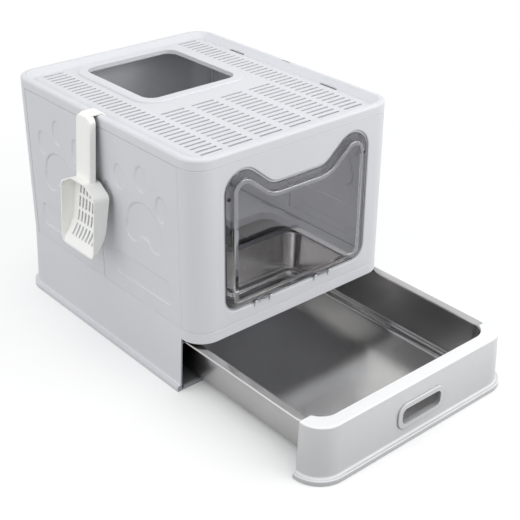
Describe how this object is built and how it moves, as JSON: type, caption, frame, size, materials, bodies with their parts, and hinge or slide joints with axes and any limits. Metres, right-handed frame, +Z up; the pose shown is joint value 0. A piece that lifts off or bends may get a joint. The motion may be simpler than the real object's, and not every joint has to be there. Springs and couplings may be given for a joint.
{
  "type": "drawer litter box",
  "caption": "Enclosed cat litter box with a slotted top-entry lid, an eared clear front flap, folding side walls, a pull-out steel litter drawer and a hung scoop.",
  "frame": {"origin": "middle of the closed box's footprint, on the floor under the base", "axes": "+Z up, -Y towards the front where the drawer pulls out, +X to the right seen from the front"},
  "size_m": [0.4675, 0.802, 0.4087],
  "materials": {
    "grey_shell": "fine-grained moulded plastic, cool light grey",
    "grey_inner": "smooth moulded plastic, cool grey",
    "white_plastic": "satin white moulded plastic",
    "scoop_plastic": "satin warm white moulded plastic",
    "clear_plastic": "clear polished plastic sheet",
    "pan_steel": "satin pressed stainless steel",
    "pin_steel": "drawn steel wire"
  },
  "bodies": {
    "housing": {"base_housing": "grey_shell", "deck_frame": "grey_inner", "rear_panel": "grey_shell", "hinge_pin_rear_left": "pin_steel", "hinge_pin_rear_right": "pin_steel"},
    "left_rear_wall": {"left_rear_side": "grey_shell"},
    "left_front_wall": {"left_front_side": "grey_shell"},
    "front_wall": {"front_panel": "grey_shell", "hinge_pin_front_left": "pin_steel", "hinge_pin_front_right": "pin_steel", "flap_pin_left": "pin_steel", "flap_pin_right": "pin_steel"},
    "right_rear_wall": {"right_rear_side": "grey_shell"},
    "right_front_wall": {"right_front_side": "grey_shell"},
    "flap": {"window_flap": "clear_plastic"},
    "lid_body": {"lid": "grey_shell"},
    "drawer": {"drawer_front": "white_plastic", "litter_pan": "pan_steel"},
    "scoop_body": {"scoop": "scoop_plastic"}
  },
  "joints": [
    {"name": "drawer_slide", "type": "slide", "parent": "housing", "child": "drawer", "axis": [0, -1, 0], "range_m": [-0.272, 0.178]},
    {"name": "left_rear_hinge", "type": "hinge", "parent": "housing", "child": "left_rear_wall", "pos_m": [-0.2, 0.215, 0.2515], "axis": [0, 0, 1], "range_deg": [0, 65]},
    {"name": "left_fold", "type": "hinge", "parent": "left_rear_wall", "child": "left_front_wall", "pos_m": [-0.205, 0, 0.2515], "axis": [0, 0, 1], "range_deg": [-130, 0]},
    {"name": "left_front_hinge", "type": "hinge", "parent": "left_front_wall", "child": "front_wall", "pos_m": [-0.2, -0.215, 0.2515], "axis": [0, 0, 1], "range_deg": [0, 65]},
    {"name": "right_rear_hinge", "type": "hinge", "parent": "housing", "child": "right_rear_wall", "pos_m": [0.2, 0.215, 0.2515], "axis": [0, 0, 1], "range_deg": [-65, 0]},
    {"name": "right_fold", "type": "hinge", "parent": "right_rear_wall", "child": "right_front_wall", "pos_m": [0.205, 0, 0.2515], "axis": [0, 0, 1], "range_deg": [0, 130]},
    {"name": "flap_hinge", "type": "hinge", "parent": "front_wall", "child": "flap", "pos_m": [0, -0.2558, 0.139], "axis": [1, 0, 0], "range_deg": [0, 90]},
    {"name": "lid_lift", "type": "slide", "parent": "housing", "child": "lid_body", "axis": [0, 0, 1], "range_m": [0, 0.15]},
    {"name": "scoop_lift", "type": "slide", "parent": "lid_body", "child": "scoop_body", "axis": [0, 0, 1], "range_m": [0, 0.28]}
  ],
  "couplings": [
    {"joint": "left_fold", "follows": "left_rear_hinge", "ratio": -2},
    {"joint": "left_front_hinge", "follows": "left_rear_hinge", "ratio": 1},
    {"joint": "right_rear_hinge", "follows": "left_rear_hinge", "ratio": -1},
    {"joint": "right_fold", "follows": "left_rear_hinge", "ratio": 2}
  ]
}
